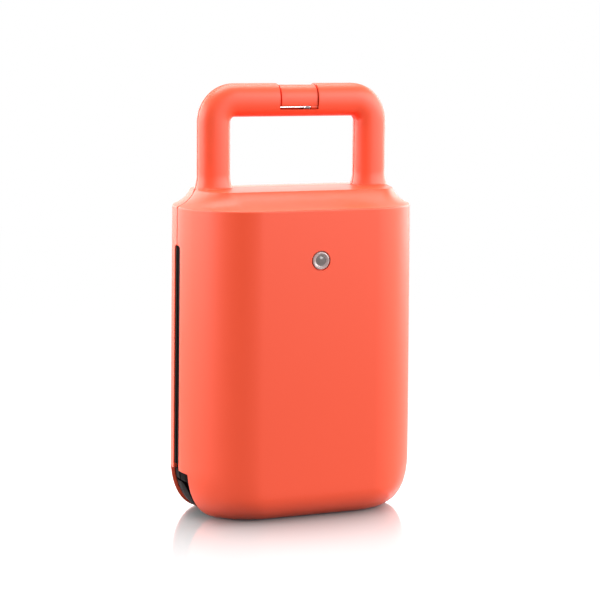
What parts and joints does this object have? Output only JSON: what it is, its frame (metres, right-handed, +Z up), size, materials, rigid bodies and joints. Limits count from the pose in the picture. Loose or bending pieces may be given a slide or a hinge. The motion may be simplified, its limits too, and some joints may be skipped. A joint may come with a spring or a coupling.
{
  "type": "clamshell waffle maker",
  "caption": "Upright clamshell contact cooker: two hinged moulded shells with waffle plates, a loop handle and a sprung clip.",
  "frame": {"origin": "on the floor, in the middle of the standing cooker, on the parting plane of its two shells", "axes": "+X across the body, -Y towards the lid with the lamp, +Y towards the base with the feet, +Z up from the hinge end to the handle"},
  "size_m": [0.1416, 0.0886, 0.2443],
  "materials": {
    "moulding": "glossy moulded coral plastic",
    "frame": "matt black heat-resistant plastic",
    "plate": "cast aluminium with a dark non-stick coating",
    "sheath": "annealed steel tube",
    "sheet": "bright sheet metal",
    "screw": "zinc-plated steel",
    "pin": "ground steel",
    "spring": "spring steel wire",
    "rubber": "soft black rubber",
    "rating": "bare satin aluminium",
    "gland": "black flexible plastic",
    "block": "cream insulating plastic",
    "brass": "brass",
    "ceramic": "white ceramic",
    "sleeve": "white glass-fibre sleeving",
    "lens": "dark red translucent plastic",
    "bulb": "neon lamp"
  },
  "bodies": {
    "base": {"base_shell": "moulding", "base_frame": "frame", "base_plate": "plate", "base_element": "sheath", "base_element_clips": "sheet", "base_reflector": "sheet", "base_plate_screws": "screw", "base_reflector_screws": "screw", "base_frame_screws": "screw", "base_feet": "rubber", "rating_plate": "rating", "hinge_pins": "pin", "cord_gland": "gland", "cord_clamp": "block", "cord_clamp_screws": "screw", "terminal_block": "block", "terminal_screws": "brass", "terminal_block_screw": "screw", "thermostat": "ceramic", "thermostat_bracket": "sheet", "thermal_fuse": "pin", "base_wires": "sleeve"},
    "lid": {"lid_shell": "moulding", "lid_frame": "frame", "lid_plate": "plate", "lid_element": "sheath", "lid_element_clips": "sheet", "lid_reflector": "sheet", "lid_plate_screws": "screw", "lid_reflector_screws": "screw", "lid_frame_screws": "screw", "lid_wires": "sleeve", "lamp_lens": "lens", "lamp_clip": "sheet", "lamp_bulb": "bulb", "latch_pin": "pin", "latch_spring": "spring"},
    "latch": {"latch_clip": "moulding"}
  },
  "joints": [
    {"name": "lid_hinge", "type": "hinge", "parent": "base", "child": "lid", "pos_m": [0, 0, 0.011], "axis": [1, 0, 0], "range_deg": [0, 100]},
    {"name": "latch_pivot", "type": "hinge", "parent": "lid", "child": "latch", "pos_m": [0.0012, -0.0054, 0.2309], "axis": [1, 0, 0], "range_deg": [0, 60], "stiffness_Nm_per_rad": 0.01}
  ]
}
